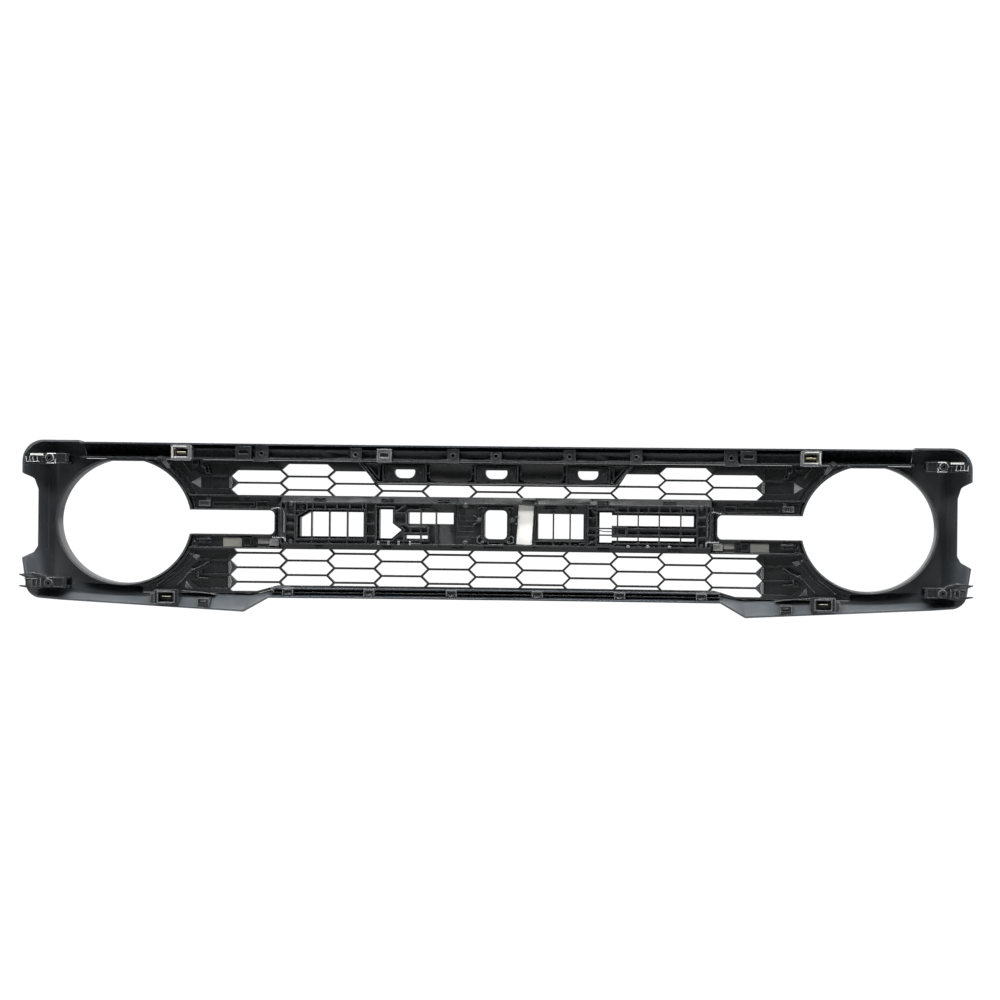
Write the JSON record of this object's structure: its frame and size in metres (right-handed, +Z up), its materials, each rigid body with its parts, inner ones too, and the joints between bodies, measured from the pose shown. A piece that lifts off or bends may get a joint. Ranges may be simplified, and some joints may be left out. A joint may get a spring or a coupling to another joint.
{
  "type": "front grille",
  "caption": "Vehicle front grille with round headlamp openings, hexagon mesh inserts, a ribbed vented centre bar and rear fixing clips.",
  "frame": {"origin": "middle of the rectangle of the four corner fixing holes, in the plane of their bosses' rear faces", "axes": "+X to the vehicle's left, -Y to its front, +Z up; the fixings' axes run along +Y"},
  "size_m": [1.529, 0.135, 0.2759],
  "materials": {
    "shell_plastic": "grained injection moulding, satin inside",
    "ring_plastic": "satin moulding",
    "rail_plastic": "satin moulding",
    "mesh_plastic": "satin moulding",
    "black_plastic": "fine grained moulding",
    "nut_plate_plastic": "smooth moulding",
    "light_clip_plastic": "smooth natural plastic",
    "spring_steel": "zinc plated spring steel",
    "zinc_screw": "dark zinc plated",
    "foam": "open cell foam",
    "light_pad": "felt tape",
    "label_film": "blank paper film"
  },
  "bodies": {
    "grille": {"blank_label": "label_film", "bottom_rail": "rail_plastic", "bridge_gussets": "black_plastic", "bridge_panel": "black_plastic", "camera_bezel": "black_plastic", "camera_retainers": "black_plastic", "carrier_screws": "zinc_screw", "centre_bar_carrier": "black_plastic", "centre_bar_cover": "black_plastic", "corner_bracket_lower_left": "black_plastic", "corner_bracket_lower_right": "black_plastic", "corner_bracket_upper_left": "black_plastic", "corner_bracket_upper_right": "black_plastic", "end_shell_left": "shell_plastic", "end_shell_right": "shell_plastic", "foam_pads": "foam", "headlamp_ring_left": "ring_plastic", "headlamp_ring_right": "ring_plastic", "light_pads": "light_pad", "lower_mesh_insert": "mesh_plastic", "nut_plate_centre": "nut_plate_plastic", "nut_plates_inner": "nut_plate_plastic", "nut_plates_middle": "nut_plate_plastic", "nut_plates_outer": "nut_plate_plastic", "rail_clips_bottom": "black_plastic", "ring_screws": "zinc_screw", "slot_liner_left": "black_plastic", "slot_liner_right": "black_plastic", "snap_clips_chin": "black_plastic", "snap_clips_top": "black_plastic", "spring_clip_lower_left": "black_plastic", "spring_clip_lower_right": "black_plastic", "spring_clip_upper_left": "light_clip_plastic", "spring_clip_upper_right": "light_clip_plastic", "top_rail": "rail_plastic", "u_clip_top": "nut_plate_plastic", "upper_mesh_insert": "mesh_plastic"},
    "leaf_lower_left": {"clip_leaf_lower_left": "spring_steel"},
    "leaf_lower_right": {"clip_leaf_lower_right": "spring_steel"},
    "leaf_upper_left": {"clip_leaf_upper_left": "spring_steel"},
    "leaf_upper_right": {"clip_leaf_upper_right": "spring_steel"}
  },
  "joints": [
    {"name": "leaf_flex_lower_left", "type": "hinge", "parent": "grille", "child": "leaf_lower_left", "pos_m": [0.53, -0.05228, -0.117], "axis": [1, 0, 0], "range_deg": [0, 12], "stiffness_Nm_per_rad": 0.06},
    {"name": "leaf_flex_lower_right", "type": "hinge", "parent": "grille", "child": "leaf_lower_right", "pos_m": [-0.53, -0.05228, -0.117], "axis": [1, 0, 0], "range_deg": [0, 12], "stiffness_Nm_per_rad": 0.06},
    {"name": "leaf_flex_upper_left", "type": "hinge", "parent": "grille", "child": "leaf_upper_left", "pos_m": [0.5083, -0.05457, 0.1175], "axis": [1, 0, 0], "range_deg": [0, 12], "stiffness_Nm_per_rad": 0.06},
    {"name": "leaf_flex_upper_right", "type": "hinge", "parent": "grille", "child": "leaf_upper_right", "pos_m": [-0.5083, -0.05457, 0.1175], "axis": [1, 0, 0], "range_deg": [0, 12], "stiffness_Nm_per_rad": 0.06}
  ]
}
